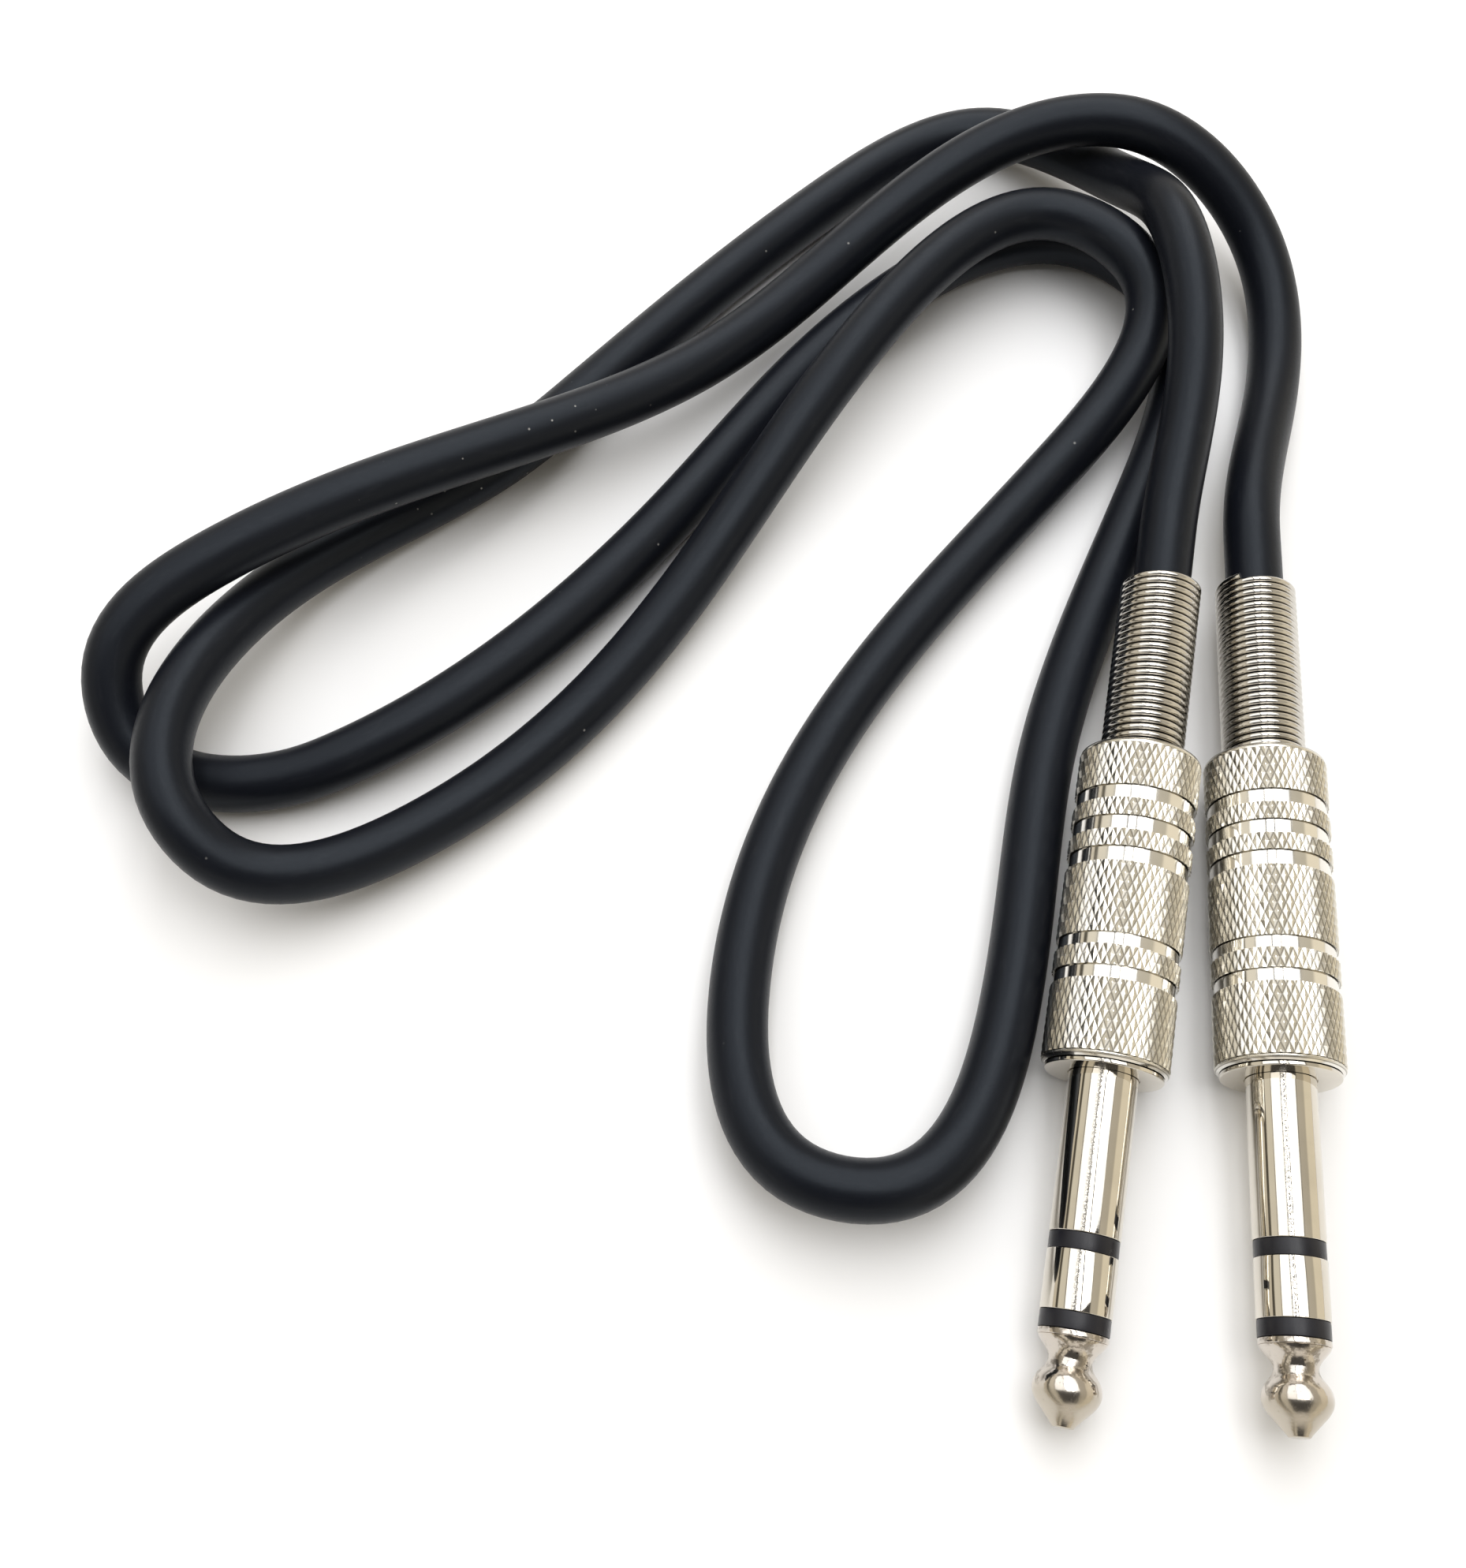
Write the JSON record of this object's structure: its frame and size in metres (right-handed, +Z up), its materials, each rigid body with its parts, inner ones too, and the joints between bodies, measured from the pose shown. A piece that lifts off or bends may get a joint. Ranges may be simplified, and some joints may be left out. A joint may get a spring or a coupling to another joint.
{
  "type": "instrument cable",
  "caption": "Round black audio cable in loose folds with a straight 6.35 mm three-contact plug on each end, knurled screw-on barrels and close-wound spring strain reliefs",
  "frame": {"origin": "on the surface that the cable lies on, under the middle of the two plugs' box", "axes": "+Z up; the plugs' tips point to -Y and the cable leaves them towards +Y; +X to the right seen from above with the tips nearest"},
  "size_m": [0.13, 0.1521, 0.0169],
  "materials": {
    "cable_jacket": "matte black flexible PVC",
    "plated_contact": "polished nickel plate on turned brass",
    "plated_barrel": "nickel plate over knurled turned brass",
    "spring_steel": "nickel-plated close-wound spring wire",
    "insulator": "dark moulded plastic",
    "plated_lug": "plated sheet metal",
    "brass_lug": "tinned brass sheet",
    "clear_liner": "milky translucent plastic tube",
    "white_core": "white wire insulation",
    "red_core": "red wire insulation",
    "copper_shield": "twisted bare copper strands"
  },
  "bodies": {
    "cable_and_contacts": {"cable_jacket": "cable_jacket", "tip_contact_a": "plated_contact", "front_insulator_a": "insulator", "ring_contact_a": "plated_contact", "rear_insulator_a": "insulator", "sleeve_contact_a": "plated_contact", "ground_clamp_a": "plated_lug", "rear_washer_a": "insulator", "ring_lug_a": "brass_lug", "lug_spacer_a": "insulator", "tip_lug_a": "brass_lug", "ring_wire_a": "white_core", "tip_wire_a": "red_core", "shield_drain_a": "copper_shield", "tip_contact_b": "plated_contact", "front_insulator_b": "insulator", "ring_contact_b": "plated_contact", "rear_insulator_b": "insulator", "sleeve_contact_b": "plated_contact", "ground_clamp_b": "plated_lug", "rear_washer_b": "insulator", "ring_lug_b": "brass_lug", "lug_spacer_b": "insulator", "tip_lug_b": "brass_lug", "ring_wire_b": "white_core", "tip_wire_b": "red_core", "shield_drain_b": "copper_shield"},
    "strain_relief_a": {"strain_relief_spring_a": "spring_steel", "liner_a": "clear_liner"},
    "barrel_shell_a": {"barrel_a": "plated_barrel"},
    "strain_relief_b": {"strain_relief_spring_b": "spring_steel", "liner_b": "clear_liner"},
    "barrel_shell_b": {"barrel_b": "plated_barrel"}
  },
  "joints": [
    {"name": "relief_travel_a", "type": "slide", "parent": "cable_and_contacts", "child": "strain_relief_a", "axis": [0.1941, 0.9795, 0.0534], "range_m": [0, 0.006]},
    {"name": "barrel_unscrew_a", "type": "hinge", "parent": "strain_relief_a", "child": "barrel_shell_a", "pos_m": [-0.00803, -0.00967, 0.00589], "axis": [0.1941, 0.9795, 0.0534], "range_deg": [0, 1440]},
    {"name": "relief_travel_b", "type": "slide", "parent": "cable_and_contacts", "child": "strain_relief_b", "axis": [0.0837, 0.9965, 0], "range_m": [0, 0.006]},
    {"name": "barrel_unscrew_b", "type": "hinge", "parent": "strain_relief_b", "child": "barrel_shell_b", "pos_m": [0.00812, -0.01004, 0.00588], "axis": [0.0837, 0.9965, 0], "range_deg": [0, 1440]}
  ],
  "couplings": [
    {"joint": "relief_travel_a", "follows": "barrel_unscrew_a", "m_per_rad": 0.00023873},
    {"joint": "relief_travel_b", "follows": "barrel_unscrew_b", "m_per_rad": 0.00023873}
  ]
}
